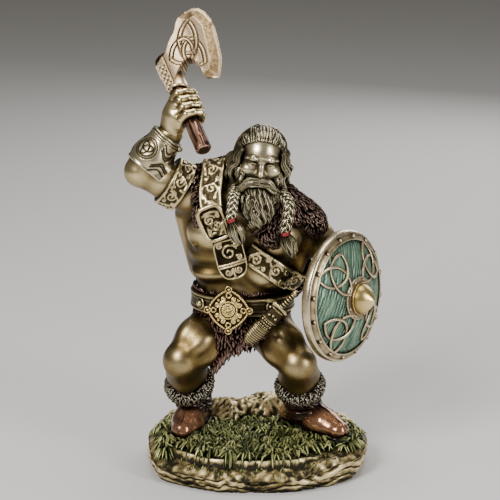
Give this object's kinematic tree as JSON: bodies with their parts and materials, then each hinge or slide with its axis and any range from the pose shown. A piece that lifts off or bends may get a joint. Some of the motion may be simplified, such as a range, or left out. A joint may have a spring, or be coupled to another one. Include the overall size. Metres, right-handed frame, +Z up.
{
  "type": "viking warrior figurine",
  "caption": "Cold-cast bronze figurine of a bearded warrior in furs, axe raised overhead and a knotwork round shield at the side, on a grassy rock base.",
  "frame": {"origin": "middle of the rock base's underside, on the surface that it stands on", "axes": "+Z up from the underside to the axe; -Y towards the viewer, the way that the warrior faces; -X is the side of the warrior's right arm, with the axe"},
  "size_m": [0.1392, 0.0993, 0.2467],
  "materials": {
    "aged_bronze": "polished gold-brown bronze powder cast in resin, with dark brown in the recesses",
    "pale_bronze": "pale champagne bronze head on a copper-brown painted handle",
    "green_shield": "verdigris-green boards under pale gold rim, boss and knotwork",
    "mossy_rock": "dry-brushed pale gold rock edges with olive-green carved grass"
  },
  "bodies": {
    "root": {"warrior_figure": "aged_bronze", "battle_axe": "pale_bronze", "round_shield": "green_shield", "rock_base": "mossy_rock"}
  },
  "joints": []
}
